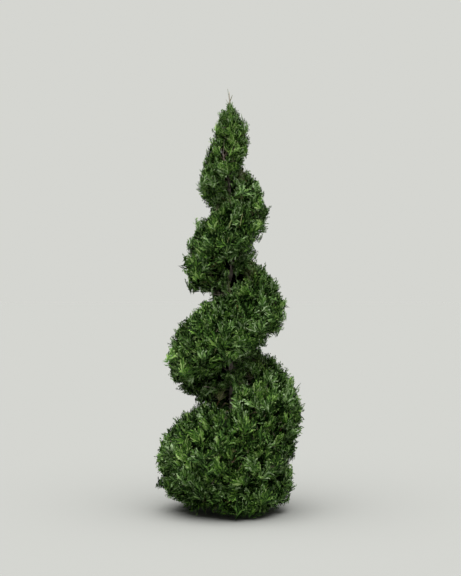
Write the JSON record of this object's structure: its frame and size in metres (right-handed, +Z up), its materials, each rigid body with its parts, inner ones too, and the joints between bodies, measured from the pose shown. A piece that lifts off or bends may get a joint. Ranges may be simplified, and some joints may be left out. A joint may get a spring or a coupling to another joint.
{
  "type": "spiral topiary arborvitae",
  "caption": "Clipped evergreen whose dense foliage winds up a slender trunk in one tapering right-handed ribbon, rooted at ground level.",
  "frame": {"origin": "centre of the flat cut under the trunk, at ground level", "axes": "+Z up along the trunk, -Y towards the front, +X to the viewer's right"},
  "size_m": [0.5417, 0.5362, 1.505],
  "materials": {
    "bark": "dull grey-brown bark, finely ridged",
    "foliage": "matt green scale leaves in flat sprays"
  },
  "bodies": {
    "root": {"trunk": "bark", "bough_01": "bark", "foliage_01": "foliage", "bough_02": "bark", "foliage_02": "foliage", "bough_03": "bark", "foliage_03": "foliage", "bough_04": "bark", "foliage_04": "foliage", "bough_05": "bark", "foliage_05": "foliage", "bough_06": "bark", "foliage_06": "foliage", "bough_07": "bark", "foliage_07": "foliage", "bough_08": "bark", "foliage_08": "foliage", "bough_09": "bark", "foliage_09": "foliage", "bough_10": "bark", "foliage_10": "foliage", "bough_11": "bark", "foliage_11": "foliage", "bough_12": "bark", "foliage_12": "foliage", "bough_13": "bark", "foliage_13": "foliage", "bough_14": "bark", "foliage_14": "foliage", "bough_15": "bark", "foliage_15": "foliage", "bough_16": "bark", "foliage_16": "foliage", "bough_17": "bark", "foliage_17": "foliage", "bough_18": "bark", "foliage_18": "foliage", "foliage_tip": "foliage"}
  },
  "joints": []
}
